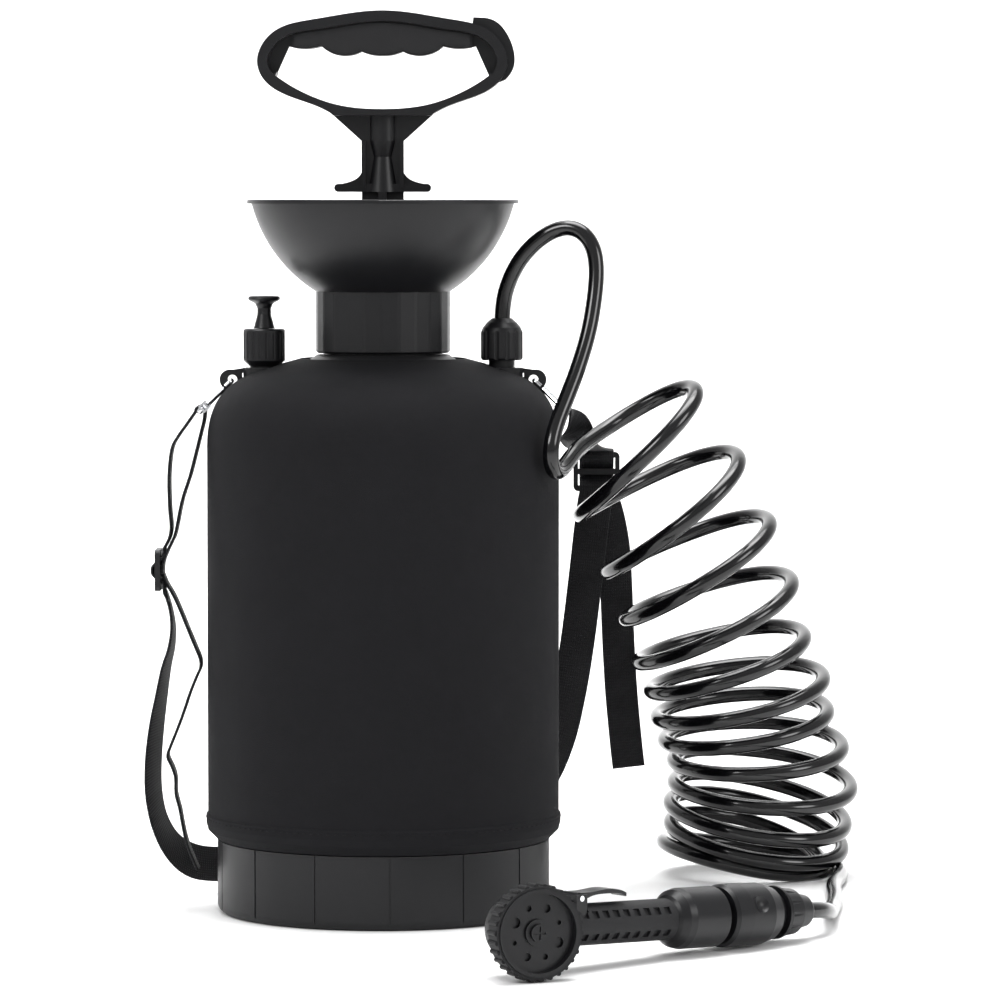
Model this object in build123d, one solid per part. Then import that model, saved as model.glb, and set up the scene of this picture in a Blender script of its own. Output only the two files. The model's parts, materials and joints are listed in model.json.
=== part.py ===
from build123d import *
from math import cos, degrees, pi, radians, sin, tan
import os

# Sizes in millimetres. Z is up, the origin is the middle of the base's underside,
# and -Y is the side with the spray dial.

# Bottle, base cup and neoprene sleeve
bottle_r = 94.6
bottle_wall = 2.4
bottle_foot_r = 90.0
bottle_foot_round = 9.0
base_r = 93.3
base_h = 41.0
base_wall = 2.8
base_floor = 3.0
base_corner_r = 5.0
base_groove_count = 14
base_groove_w = 1.2
base_groove_d = 0.5
shoulder_start_z = 262.0
shoulder_mid_r = 84.0
shoulder_mid_z = 291.5
shoulder_top_r = 46.0
shoulder_top_z = 306.6
neck_foot_z = 312.6
neck_foot_r = 37.0
neck_r = 33.0
neck_bore_r = 30.0
neck_top_z = 331.0
sleeve_gap = 0.3
sleeve_t = 3.7
hem_z = 41.6
hem_top_z = 57.0
hem_bulge = 1.0
hem_tuck_r = 93.5
seam_z = 289.0

# Bosses for the relief valve and the hose gland
boss_x = 66.5
boss_r = 11.8
boss_top_z = 302.3
boss_bore_r = 6.2
boss_t = 5.0
sleeve_hole_r = 13.8
lug_t = 3.0
lug_ring_r = 12.0
ear_x = 84.3
ear_z = 298.6
ear_r = 5.6
ear_reach = 1.6
ear_t = 4.0
ear_hole_r = 2.7

# Funnel
collar_r = 37.7
collar_foot_z = 313.6
collar_chamfer = 1.2
collar_top_z = 347.0
collar_flats = 12
skirt_clearance = 0.4
gasket_t = 2.6
ledge_t = 4.0
ledge_bore_r = 28.6
throat_r = 31.6
throat_top_z = 351.0
bowl_foot_r = 36.0
bowl_mid_r = 61.2
bowl_mid_z = 370.5
bowl_rim_r = 73.4
bowl_rim_z = 397.0
bowl_wall = 2.2
lip_r = 75.9
lip_t = 2.2

# Pump
cap_skirt_r = 31.1
cap_skirt_bore_r = 27.2
cap_flange_r = 35.0
cap_flange_t = 3.7
cap_gasket_t = 2.0
cap_tooth_count = 24
tower_r = 18.0
tower_top_z = 394.0
rod_clearance = 0.65
cylinder_r = 22.0
cylinder_wall = 2.0
cylinder_foot_z = 94.0
cylinder_floor = 4.0
cylinder_flange_r = 26.7
cylinder_flange_t = 3.0
port_count = 4
port_r = 2.5
port_ring_r = 11.0
flap_r = 15.0
flap_t = 1.5
stroke = 190.0
piston_z = 112.0
piston_clearance = 0.5
cup_clearance = 0.3
cup_h = 8.0
plate_h = 5.0
rod_r = 11.75
vane_t = 4.6
stub_r = 5.0
stub_clearance = 0.06
clip_r = 9.0
clip_t = 2.0
bayonet_z = 380.0
bayonet_h = 8.0
bayonet_r = 16.4
bayonet_w = 7.0
bayonet_clearance = 0.8
bayonet_turn = 60.0

# Handle
ears_z = 403.5
ears_t = 4.5
ears_half = 27.0
ears_w = 11.0
neck_half = 11.75
neck_waist_z = 414.6
neck_shoulder_z = 431.9
neck_plate_t = 5.0
handle_depth = 26.0
handle_rim_t = 5.8
grip_pad_t = 19.0
grip_pad_edge = 1.1
handle_web_t = 4.0
lance_clip_w = 14.0

# Relief valve
valve_r = 11.7
valve_foot_r = 8.0
valve_foot_z = 306.0
valve_top_z = 327.0
valve_bore_r = 7.4
valve_seat_z = 309.0
valve_seat_bore_r = 2.6
valve_seal_r = 5.5
valve_seal_t = 1.7
valve_cap_t = 3.6
valve_travel = 4.0
stem_r = 3.0
stem_clearance = 0.3
knob_r = 9.0
knob_top_z = 345.6
stem_waist_r = 3.9
stem_cone_r = 6.0
spigot_drop = 14.0
valve_flute_count = 18
washer_t = 1.6
nut_h = 5.0
nut_r = 10.0

# Gland and hose
hose_r = 4.5
hose_clearance = 0.15
gland_neck_r = 7.3
gland_nut_r = 11.75
gland_nut_foot_z = 309.5
gland_nut_top_z = 333.0
gland_dome_z = 326.0
gland_mouth_r = 5.6
gland_flute_count = 12
hose_start_z = 323.0
gland_bore_r = 3.0
gland_seat_t = 4.5
dip_r = 4.0
dip_bore_r = 2.6
strainer_r = 9.0
strainer_h = 16.0

# Hooks and strap
wire_r = 1.6
hook_len = 25.0
hook_half = 12.6
hook_top_half = 4.4
hook_drop = (0.715, -0.700)
fork_half = 2.5
gate_pin = (20.4, -12.4)
gate_tip = (7.4, -4.8)
gate_r = 1.05
gate_pin_r = 0.8
gate_swing = 25.0
web_t = 1.5
web_w = 20.0
slider_w = 27.0
slider_l = 23.0
slider_t = 3.0
slider_bar = 3.4
slider_slot_w = 21.6
left_slider_at = (-126.3, 4.0, 191.7)
right_slider_at = (121.8, 121.0, 240.9)
slider_weave = ((-3.4, 12.0), (-3.4, 8.4), (-2.4, 6.3), (0.5, 4.7), (2.9, 2.1), (3.2, 0.9), (3.2, 0.05))

# Handset, lying on the floor
handset_origin = (75.6, -262.8, 25.2)
handset_heading = 42.3
handset_dip = 2.6
barrel_turn = -107.3
dial_r = 25.3
dial_core_r = 22.6
dial_lobe_r = 1.3
dial_t = 12.0
dial_face_r = 20.5
dial_recess = 4.0
dial_lobes = 30
dial_gap = 0.8
dial_hub_r = 7.0
dial_post_r = 3.2
dial_hole_ring_r = 13.4
dial_hole_rs = (1.6, 2.8, 1.2, 2.2)
head_r = 17.5
head_back = -14.0
head_front = 12.0
grip_foot = 30.5
grip_core_r = 8.5
grip_r = 11.0
pocket_count = 9
pocket_pitch = 7.4
pocket_w = 4.2
pocket_d = 1.6
pocket_rows = (33, -33, 147, -147)
bell_from = 104.0
bell_to = 138.5
bell_r = 16.2
coupling_from = 142.5
coupling_to = 183.0
coupling_r = 17.0
coupling_travel = 4.0
socket_r = 11.2
hose_nut_from = 186.0
hose_nut_to = 209.0
hose_end = 196.0
spigot_r = 7.6
spigot_bore_r = 4.0
spigot_clearance = 0.4
seal_from = 160.5
lever_x = 36.0
lever_z = 14.5
lever_w = 11.0
lever_pin_r = 1.5


def turned(points):
    return revolve(Plane.XZ * make_face(Polyline(*points, close=True)), Axis.Z)


def tube(r_out, r_in, z0, z1):
    ring = Plane.XY.offset(z0) * (Circle(r_out) - Circle(r_in))
    return extrude(ring, amount=z1 - z0)


def disc(r, z0, z1):
    return Pos(0, 0, z0) * Cylinder(r, z1 - z0, align=(Align.CENTER, Align.CENTER, Align.MIN))


def block(x0, x1, y0, y1, z0, z1):
    middle = Pos((x0 + x1) / 2, (y0 + y1) / 2, (z0 + z1) / 2)
    return middle * Box(x1 - x0, y1 - y0, z1 - z0)


def ribbon(stations, thickness):
    sections = []
    for i, (point, across, width) in enumerate(stations):
        before = stations[max(i - 1, 0)][0]
        after = stations[min(i + 1, len(stations) - 1)][0]
        along = (Vector(after) - Vector(before)).normalized()
        across = Vector(*across)
        across = (across - along * across.dot(along)).normalized()
        plane = Plane(origin=point, x_dir=across, z_dir=along)
        sections.append(plane * Rectangle(width, thickness))
    return loft(sections, ruled=True)


def shoulder_face(outset, foot_z, foot_r):
    """Half-section from a foot up to the neck opening, drawn outset from the bottle's skin."""
    side_r = bottle_r + outset
    top = (shoulder_top_r, shoulder_top_z + outset)
    middle = (shoulder_mid_r + 0.6 * outset, shoulder_mid_z + 0.8 * outset)
    lines = [
        Polyline((0, foot_z), (foot_r, foot_z), (side_r, foot_z + side_r - foot_r)),
        Line((side_r, foot_z + side_r - foot_r), (side_r, shoulder_start_z)),
        Spline((side_r, shoulder_start_z), middle, top, tangents=[(0, 1), (-1, 0.28)]),
        Polyline(top, (0, top[1]), (0, foot_z)),
    ]
    return make_face(Curve() + lines)


def bottle_skin(inset):
    """The bottle's outside, or its inside when inset by the wall."""
    upper = revolve(Plane.XZ * shoulder_face(-inset, base_h + 2, bottle_foot_r - inset), Axis.Z)
    foot_r = bottle_foot_r - inset
    foot_z = base_floor + inset
    lower = disc(foot_r, foot_z, base_h + 2)
    rim = lower.edges().sort_by(Axis.Z)[0]
    lower = fillet(rim, bottle_foot_round - inset)
    cone = turned([
        (0, shoulder_top_z - inset), (shoulder_top_r - inset, shoulder_top_z - inset),
        (neck_foot_r - inset, neck_foot_z - inset), (0, neck_foot_z - inset),
    ])
    return upper + lower + cone


def make_bottle():
    body = bottle_skin(0) + disc(neck_r, neck_foot_z - 1, neck_top_z)
    for side in (-1, 1):
        body += Pos(side * boss_x, 0, 0) * disc(boss_r, shoulder_mid_z, boss_top_z)
        body -= Pos(side * boss_x, 0, 0) * disc(lug_ring_r + 0.3, boss_top_z, neck_foot_z)
    body -= bottle_skin(bottle_wall)
    body -= disc(neck_bore_r, neck_foot_z - 20, neck_top_z + 1)
    for side in (-1, 1):
        body -= Pos(side * boss_x, 0, 0) * disc(boss_bore_r, shoulder_mid_z - 10, boss_top_z + 1)
        body -= Pos(side * boss_x, 0, 0) * disc(nut_r + 0.6, shoulder_mid_z - 10, boss_top_z - boss_t)
    for i in range(3):
        thread = tube(neck_r + 0.3, neck_r - 0.5, neck_foot_z + 4 + 5 * i, neck_foot_z + 6 + 5 * i)
        body += thread
    return body


def make_base_cup():
    body = disc(base_r, 0, base_h)
    body = fillet(body.edges().sort_by(Axis.Z)[0], base_corner_r)
    body -= disc(base_r - base_wall, base_floor, base_h + 1)
    for i in range(base_groove_count):
        angle = 3.3 + i * 360 / base_groove_count
        groove = Pos(0, -base_r, 0) * Box(base_groove_w, 2 * base_groove_d, 2 * base_h)
        body -= Rot(0, 0, angle) * groove
    return body


def make_neoprene_sleeve():
    outer = revolve(Plane.XZ * shoulder_face(sleeve_gap + sleeve_t, hem_z, hem_tuck_r), Axis.Z)
    inner = revolve(Plane.XZ * shoulder_face(sleeve_gap, base_h + 2, bottle_foot_r + sleeve_gap), Axis.Z)
    hem = turned([
        (base_r - 1, hem_z), (hem_tuck_r, hem_z), (bottle_r + 4, hem_z + 5),
        (bottle_r + sleeve_gap + sleeve_t + hem_bulge, hem_z + 9),
        (bottle_r + sleeve_gap + sleeve_t + hem_bulge, hem_top_z - 2),
        (bottle_r + sleeve_gap + sleeve_t - 1, hem_top_z), (bottle_r + 1, hem_top_z),
    ])
    body = outer + hem - inner - disc(bottle_foot_r + sleeve_gap, hem_z - 1, base_h + 10)
    body -= disc(shoulder_top_r - 0.4, shoulder_mid_z, neck_top_z)
    for side in (-1, 1):
        body -= Pos(side * boss_x, 0, 0) * disc(sleeve_hole_r, shoulder_mid_z - 30, neck_top_z)
        slot = block(boss_x, ear_x + ear_reach + ear_r + 0.8, -ear_t / 2 - 0.8, ear_t / 2 + 0.8,
                     shoulder_mid_z - 6, neck_top_z)
        slot += block(ear_x - 3, ear_x + ear_reach + ear_r + 0.8, -hook_top_half - 2.4, hook_top_half + 2.4,
                      ear_z - ear_r - 2, neck_top_z)
        body -= slot if side > 0 else mirror(slot, Plane.YZ)
    return body


def make_lug(side):
    """Ring under the valve or gland, with an upright ear whose hole looks to the front."""
    ring = tube(lug_ring_r, boss_bore_r + 0.1, boss_top_z, boss_top_z + lug_t)
    ear = Plane.XZ * make_face(Polyline(
        (lug_ring_r - 2, boss_top_z), (lug_ring_r - 2, boss_top_z + lug_t),
        (ear_x - boss_x, boss_top_z + lug_t - 1.2), (ear_x - boss_x, ear_z - 2), (boss_r + 0.6, ear_z + 1),
        (boss_r + 0.6, boss_top_z), close=True))
    ear = extrude(ear, amount=ear_t / 2, both=True)
    eye = Pos(ear_x - boss_x, 0, ear_z) * Rot(90, 0, 0) * Cylinder(ear_r, ear_t)
    eye += Pos(ear_x - boss_x + ear_reach, 0, ear_z) * Rot(90, 0, 0) * Cylinder(ear_r, ear_t)
    hole = Pos(ear_x - boss_x, 0, ear_z) * Rot(90, 0, 0) * Cylinder(ear_hole_r, 3 * ear_t)
    lug = Pos(boss_x, 0, 0) * (ring + ear + eye - hole)
    return lug if side > 0 else mirror(lug, Plane.YZ)


def bowl_face(foot, middle, rim, top_z):
    """Half-section filled in from the axis out to the bowl's curve, and up to top_z."""
    return make_face(Curve() + [
        ThreePointArc(foot, middle, rim),
        Polyline(rim, (rim[0], top_z), (0, top_z), (0, foot[1]), foot),
    ])


def make_funnel():
    collar = extrude(Plane.XY.offset(collar_foot_z) * RegularPolygon(collar_r, 2 * collar_flats),
                     amount=throat_top_z - collar_foot_z)
    collar &= disc(collar_r - 0.12, collar_foot_z, throat_top_z)
    collar = chamfer(collar.faces().sort_by(Axis.Z)[0].edges(), collar_chamfer)
    outside = bowl_face((bowl_foot_r, collar_top_z), (bowl_mid_r, bowl_mid_z),
                        (bowl_rim_r, bowl_rim_z), bowl_rim_z + 0.5)
    inside = bowl_face((bowl_foot_r - 0.7, throat_top_z), (bowl_mid_r - 0.8 * bowl_wall, bowl_mid_z + 0.6 * bowl_wall),
                       (bowl_rim_r - bowl_wall, bowl_rim_z), bowl_rim_z + 9)
    bowl = revolve(Plane.XZ * outside, Axis.Z)
    lip = tube(lip_r, bowl_rim_r - bowl_wall - 1, bowl_rim_z, bowl_rim_z + lip_t)
    body = collar + bowl + fillet(lip.faces().sort_by(SortBy.AREA)[-1].edges(), 0.6)
    body -= revolve(Plane.XZ * inside, Axis.Z)
    body -= disc(neck_r + skirt_clearance, collar_foot_z - 1, neck_top_z + gasket_t)
    body -= disc(ledge_bore_r, neck_top_z, throat_top_z)
    body -= disc(throat_r, neck_top_z + gasket_t + ledge_t, throat_top_z + 1)
    return body


def make_neck_gasket():
    return tube(neck_r, neck_bore_r, neck_top_z, neck_top_z + gasket_t)


ledge_top_z = neck_top_z + gasket_t + ledge_t


def bayonet_slots():
    half = bayonet_w / 2 + bayonet_clearance
    low = bayonet_z - bayonet_clearance
    high = bayonet_z + bayonet_h + bayonet_clearance
    slots = block(-tower_r - 1, tower_r + 1, -half, half, low, tower_top_z + 1)
    lead = degrees(half / (rod_r + rod_clearance))
    leg = tube(tower_r + 1, rod_r, low, high)
    for turn in (0, 180):
        sector = Plane.XY.offset(low) * make_face(Polyline(
            (0, 0), (40 * cos(radians(turn - lead)), 40 * sin(radians(turn - lead))),
            (50 * cos(radians(turn + 30)), 50 * sin(radians(turn + 30))),
            (40 * cos(radians(turn + bayonet_turn + lead)), 40 * sin(radians(turn + bayonet_turn + lead))),
            close=True))
        slots += leg & extrude(sector, amount=high - low)
    return slots


def make_pump_cap():
    skirt = tube(cap_skirt_r, cap_skirt_bore_r, ledge_top_z + cap_gasket_t, throat_top_z + 0.3)
    flange = disc(cap_flange_r, throat_top_z + 0.3, throat_top_z + cap_flange_t)
    flange = chamfer(flange.edges().sort_by(Axis.Z)[-1], 0.8)
    tower = disc(tower_r, throat_top_z + 1, tower_top_z)
    tower = chamfer(tower.edges().sort_by(Axis.Z)[-1], 1.2)
    body = skirt + flange + tower
    for i in range(4):
        rib = block(tower_r - 1, cap_flange_r - 3, -1.5, 1.5, throat_top_z + 1, throat_top_z + 12)
        rib -= Pos(cap_flange_r - 3, 0, throat_top_z + 13) * Rot(90, 0, 0) * Cylinder(9, 8)
        body += Rot(0, 0, 45 + 90 * i) * rib
    body -= disc(rod_r + rod_clearance, throat_top_z - 1, tower_top_z + 1)
    return body - bayonet_slots()


def make_cap_gasket():
    return tube(cap_skirt_r - 0.3, ledge_bore_r + 0.4, ledge_top_z, ledge_top_z + cap_gasket_t)


def make_pump_cylinder():
    top = throat_top_z + 0.3
    body = disc(cylinder_r, cylinder_foot_z, top) + disc(cylinder_flange_r, top - cylinder_flange_t, top)
    body -= disc(cylinder_r - cylinder_wall, cylinder_foot_z + cylinder_floor, top + 1)
    for i in range(port_count):
        port = Pos(port_ring_r, 0, 0) * disc(port_r, cylinder_foot_z - 1, cylinder_foot_z + 10)
        body -= Rot(0, 0, i * 360 / port_count) * port
    return body - disc(2.2, cylinder_foot_z - 1, cylinder_foot_z + 10)


def make_foot_valve():
    flap = disc(flap_r, cylinder_foot_z - flap_t, cylinder_foot_z)
    stalk = disc(2.0, cylinder_foot_z - flap_t, cylinder_foot_z + cylinder_floor + 0.6)
    knob = disc(3.2, cylinder_foot_z + cylinder_floor, cylinder_foot_z + cylinder_floor + 2.0)
    return flap + stalk + knob


def make_piston_cup():
    r = cylinder_r - cylinder_wall - cup_clearance
    return turned([
        (stub_r + stub_clearance, piston_z), (r - 2.4, piston_z), (r, piston_z - cup_h + 3),
        (r - 1.6, piston_z - cup_h + 3), (r - 4.4, piston_z - 2.2), (stub_r + stub_clearance, piston_z - 2.2),
    ])


def make_piston_plate():
    r = cylinder_r - cylinder_wall - piston_clearance
    plate = tube(r, stub_r + stub_clearance, piston_z, piston_z + plate_h)
    return plate - tube(r + 1, r - 1.4, piston_z + 1.8, piston_z + plate_h - 1.4)


def make_rod():
    top = ears_z
    foot = piston_z + plate_h
    vane = block(-rod_r, rod_r, -vane_t / 2, vane_t / 2, foot, top)
    vane += block(-vane_t / 2, vane_t / 2, -rod_r, rod_r, foot, top)
    rod = (vane & disc(rod_r, foot, top)) + disc(rod_r, foot, foot + 4)
    rod += disc(stub_r, piston_z - 6, foot + 1)
    lugs = block(-bayonet_r, bayonet_r, -bayonet_w / 2, bayonet_w / 2, bayonet_z, bayonet_z + bayonet_h)
    rod += lugs & disc(bayonet_r, bayonet_z, bayonet_z + bayonet_h)
    return rod - tube(stub_r + 1, stub_r - 0.8, piston_z - 5.4, piston_z - 5.4 + clip_t + 0.2)


def make_rod_clip():
    clip = tube(clip_r, stub_r - 0.7, piston_z - 5.3, piston_z - 5.3 + clip_t)
    return clip - block(0, clip_r + 1, -3, 3, piston_z - 9, piston_z)


def handle_outline():
    """Right half of the outer edge: the D, its neck and the turning ears, seen from the front."""
    return Curve() + [
        Spline((0, 504.3), (37, 499.6), (62.3, 491), (69.6, 474.8), (65.2, 465.0), (49, 455.6), (29, 447.4),
               tangents=[(1, 0), (-0.86, -0.5)]),
        Line((29, 447.4), (neck_half, neck_shoulder_z)),
        Line((neck_half, neck_shoulder_z), (neck_half, neck_waist_z)),
        Spline((neck_half, neck_waist_z), (19.0, ears_z + ears_t + 1.0), (ears_half - 2, ears_z + ears_t),
               tangents=[(0.4, -1), (1, 0)]),
        ThreePointArc((ears_half - 2, ears_z + ears_t), (ears_half, ears_z + ears_t / 2), (ears_half - 2, ears_z)),
        Line((ears_half - 2, ears_z), (0, ears_z)),
    ]


def opening_outline(rise):
    """Right half of the hand opening; its top is scalloped for the fingers and lifted by rise."""
    return Curve() + [
        ThreePointArc((0, 479.3 + rise), (7.0, 480.0 + rise), (11.5, 481.6 + rise)),
        ThreePointArc((11.5, 481.6 + rise), (22.0, 479.3 + rise), (34, 484.5 + rise)),
        ThreePointArc((34, 484.5 + rise), (42.5, 483.2 + rise), (52, 484.5 + rise)),
        Line((52, 484.5 + rise), (59.4, 468.1)),
        Spline((59.4, 468.1), (46, 459.8), (29, 453.0), (0, 449.6), tangents=[(-0.8, -0.6), (-1, 0)]),
    ]


def recess_outline(inset):
    """Right half of the rim's inner edge; the hand opening takes its lower part."""
    t = handle_rim_t + inset
    return Curve() + [
        Spline((0, 504.3 - t), (37 - 0.2 * t, 499.6 - 0.98 * t), (62.3 - 0.66 * t, 491 - 0.75 * t),
               (69.6 - t, 474.8), (65.2 - 0.7 * t, 465.0 + 0.7 * t), tangents=[(1, 0), (-0.6, -0.8)]),
        Polyline((65.2 - 0.7 * t, 465.0 + 0.7 * t), (56, 471), (0, 471)),
    ]


def make_closed(half):
    """Face between a right-hand outline and the middle line."""
    return make_face(half + Line(half @ 1, half @ 0))


def both_sides(half):
    side = make_closed(half)
    return side + mirror(side, Plane.YZ)


def window(x, z0, z1):
    return Pos(0, (z0 + z1) / 2) * Rectangle(2 * x, z1 - z0)


def plate(face, depth):
    """Front-view face made a plate, equally deep to the front and the back."""
    return extrude(Plane.XZ * face, amount=depth / 2, both=True)


def right_side(face):
    return face & (Pos(100, 450) * Rectangle(200, 200))


def make_handle(outline, opening, recess):
    head = right_side(outline & window(100, 446, 520))
    below = right_side(outline & window(100, ears_z, 449))
    half = plate(head - opening, handle_depth) - (plate(recess, 2 * handle_depth) - plate(recess, handle_web_t))
    half += plate(below - opening, neck_plate_t)
    half += plate(below & window(40, ears_z, ears_z + ears_t), ears_w)
    half += block(neck_half - 2.2, neck_half, -6, 6, ears_z + 2, neck_shoulder_z)
    column = turned([
        (0, ears_z), (8.6, ears_z), (7.5, ears_z + 6.5), (5.5, 423), (7.5, neck_shoulder_z), (7.5, 449.0), (0, 449.0),
    ])
    return half + mirror(half, Plane.YZ) + column


def make_grip_pads():
    """Soft pads front and back, filling the web between the rim and the finger scallops."""
    pads = []
    for inset, depth in ((0, grip_pad_t - 2 * grip_pad_edge), (grip_pad_edge, grip_pad_t)):
        inside = make_closed(recess_outline(inset)) & window(50 - inset, 476, 505)
        face = inside - make_closed(opening_outline(inset))
        pads.append(plate(face, depth))
    half = pads[0] + pads[1] - block(-60, 60, -handle_web_t / 2, handle_web_t / 2, 470, 510)
    return half + mirror(half, Plane.YZ)


def make_lance_clip(outline):
    """Spring clip over the handle's right end, which holds the handset when it is put away."""
    shell = make_face(Curve() + [
        Polyline((60, 462.5), (49.5, 492.0), (50.6, 500.6), (56.6, 500.4)),
        Spline((56.6, 500.4), (68.2, 493.4), (73.7, 478.7), (68.6, 466.0), tangents=[(1, -0.1), (-0.7, -0.7)]),
        Line((68.6, 466.0), (60, 462.5)),
    ])
    return plate(shell - outline, lance_clip_w)


def make_valve_body():
    body = turned([
        (0, valve_foot_z), (valve_foot_r, valve_foot_z), (valve_r, valve_foot_z + 3.4),
        (valve_r, valve_top_z - 0.8), (valve_r - 0.8, valve_top_z), (0, valve_top_z),
    ])
    body += disc(boss_bore_r - 0.15, boss_top_z - spigot_drop, valve_foot_z + 1)
    body += disc(valve_foot_r, boss_top_z + lug_t, valve_foot_z)
    body -= disc(valve_seat_bore_r, boss_top_z - spigot_drop - 1, valve_seat_z)
    body -= disc(valve_bore_r, valve_seat_z, valve_top_z + 1)
    for i in range(valve_flute_count):
        flute = Pos(valve_r + 0.6, 0, 0) * disc(1.0, valve_foot_z + 4.4, valve_top_z - 2.0)
        body -= Rot(0, 0, i * 360 / valve_flute_count) * flute
    return Pos(-boss_x, 0, 0) * body


def make_valve_cap():
    return Pos(-boss_x, 0, 0) * tube(valve_bore_r, stem_r + stem_clearance, valve_top_z - valve_cap_t, valve_top_z)


valve_collar_z = valve_seat_z + 0.3 + valve_seal_t


def make_valve_stem():
    """Rod with a collar that carries the seal; the knob is screwed on its top."""
    collar_r = valve_seal_r + 0.9
    return Pos(-boss_x, 0, 0) * turned([
        (0, valve_seat_z + 0.5), (1.5, valve_seat_z + 0.5), (1.5, valve_collar_z), (collar_r, valve_collar_z),
        (collar_r, valve_collar_z + 2.0), (stem_r, valve_collar_z + 2.0), (stem_r, knob_top_z - 9.0),
        (0, knob_top_z - 9.0),
    ])


def make_valve_seal():
    return Pos(-boss_x, 0, 0) * tube(valve_seal_r, 1.5, valve_seat_z + 0.3, valve_collar_z)


def make_valve_spring():
    """The coil spring's outer shape."""
    low = valve_collar_z + 2.0
    return Pos(-boss_x, 0, 0) * tube(stem_r + 2.4, stem_r + 0.5, low, valve_top_z - valve_cap_t)


def make_valve_knob():
    low = valve_top_z + 0.3
    knob = turned([
        (0, low), (stem_cone_r, low), (stem_cone_r - 0.4, low + 1.2), (stem_waist_r, knob_top_z - 10.5),
        (stem_waist_r, knob_top_z - 7.0), (stem_waist_r + 1.2, knob_top_z - 4.4), (knob_r - 0.5, knob_top_z - 2.6),
        (knob_r, knob_top_z - 1.8), (knob_r - 0.3, knob_top_z - 0.6), (knob_r - 2.0, knob_top_z), (0, knob_top_z),
    ])
    return Pos(-boss_x, 0, 0) * (knob - disc(stem_r, low - 1, knob_top_z - 9.0))


lock_z = boss_top_z - boss_t


def make_lock_nuts():
    """Two nuts inside the bottle, one under each boss."""
    nuts = []
    for side in (-1, 1):
        nut = extrude(Plane.XY.offset(lock_z - washer_t - nut_h) * RegularPolygon(nut_r, 6), amount=nut_h)
        nuts.append(Pos(side * boss_x, 0, 0) * (nut - disc(boss_bore_r, lock_z - 20, lock_z)))
    return nuts[0] + nuts[1]


def make_lock_washers():
    ring = tube(nut_r - 0.6, boss_bore_r, lock_z - washer_t, lock_z)
    return Pos(-boss_x, 0, 0) * ring + Pos(boss_x, 0, 0) * ring


def make_gland_stem():
    low = boss_top_z - spigot_drop
    body = disc(boss_bore_r - 0.15, low, boss_top_z + lug_t)
    body += disc(gland_neck_r, boss_top_z + lug_t, gland_nut_foot_z)
    body += disc(gland_nut_r - 3.4, gland_nut_foot_z, hose_start_z - gland_seat_t)
    body += disc(dip_bore_r, low - 12, low)
    body -= disc(gland_bore_r, low + 3, hose_start_z)
    body -= disc(dip_bore_r - 0.9, low - 13, low + 4)
    return Pos(boss_x, 0, 0) * body


def make_gland_seal():
    """Rubber seat under the hose's end, with a collar round the hose."""
    seat = tube(gland_nut_r - 3.6, gland_bore_r, hose_start_z - gland_seat_t, hose_start_z)
    collar = tube(gland_nut_r - 3.6, hose_r, hose_start_z, hose_start_z + 2.6)
    return Pos(boss_x, 0, 0) * (seat + collar)


def make_gland_nut():
    nut = turned([
        (0, gland_nut_foot_z), (gland_nut_r - 0.9, gland_nut_foot_z), (gland_nut_r, gland_nut_foot_z + 1.2),
        (gland_nut_r, gland_dome_z - 1), (gland_nut_r - 1.1, gland_dome_z + 1.8),
        (gland_nut_r - 3.4, gland_dome_z + 4.6), (gland_mouth_r, gland_nut_top_z), (0, gland_nut_top_z),
    ])
    for i in range(gland_flute_count):
        flute = Pos(gland_nut_r + 1.0, 0, 0) * disc(1.7, gland_nut_foot_z - 1, gland_dome_z)
        nut -= Rot(0, 0, (i + 0.5) * 360 / gland_flute_count) * flute
    nut -= disc(gland_nut_r - 3.2, gland_nut_foot_z - 1, hose_start_z + 2.8)
    nut -= disc(hose_r + hose_clearance, gland_nut_foot_z, gland_nut_top_z + 1)
    return Pos(boss_x, 0, 0) * nut


def make_dip_tube():
    foot = base_floor + bottle_wall + strainer_h - 3
    return Pos(boss_x, 0, 0) * tube(dip_r, dip_bore_r, foot, boss_top_z - spigot_drop)


def make_strainer():
    low = base_floor + bottle_wall + 0.4
    cup = tube(strainer_r, strainer_r - 2, low, low + strainer_h)
    cup += tube(strainer_r, dip_r, low + strainer_h - 3, low + strainer_h)
    for i in range(8):
        cup -= Rot(0, 0, 22.5 * i) * block(-20, 20, -1.2, 1.2, low + 3, low + strainer_h - 5)
    return Pos(boss_x, 0, 0) * cup


def hook_place(side):
    """Local x runs down the hook from the lug's hole, local y lies along the hole."""
    down = Vector(side * hook_drop[0], 0, hook_drop[1]).normalized()
    return Plane(origin=(side * ear_x, 0, ear_z), x_dir=down, z_dir=down.cross(Vector(0, 1, 0)))


def make_hook(side):
    path = FilletPolyline(
        (5.2, -hook_top_half), (0.9, -hook_top_half), (0.9, hook_top_half), (9, hook_top_half), (20, hook_half),
        (hook_len, hook_half), (hook_len, -hook_half), (gate_pin[0] + 1.9, -hook_half),
        radius=[1.9, 1.9, 4.0, 2.6, 2.2, 2.0])
    wire = sweep(Plane(origin=path @ 0, z_dir=path % 0) * Circle(wire_r), path=path)
    fork = block(gate_pin[0] - 2.2, gate_pin[0] + 3.2, -hook_half - 1.7, -hook_half + 1.7, -fork_half, fork_half)
    fork -= block(gate_pin[0] - 3, gate_pin[0] + 2.2, -hook_half - 3, -hook_half + 3, -gate_r - 0.3, gate_r + 0.3)
    fork -= Pos(*gate_pin) * Cylinder(gate_pin_r, 9)
    return hook_place(side) * (wire + fork)


def make_gate_pins():
    pin = Pos(*gate_pin) * Cylinder(gate_pin_r, 2 * fork_half)
    return hook_place(-1) * pin + hook_place(1) * pin


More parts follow.
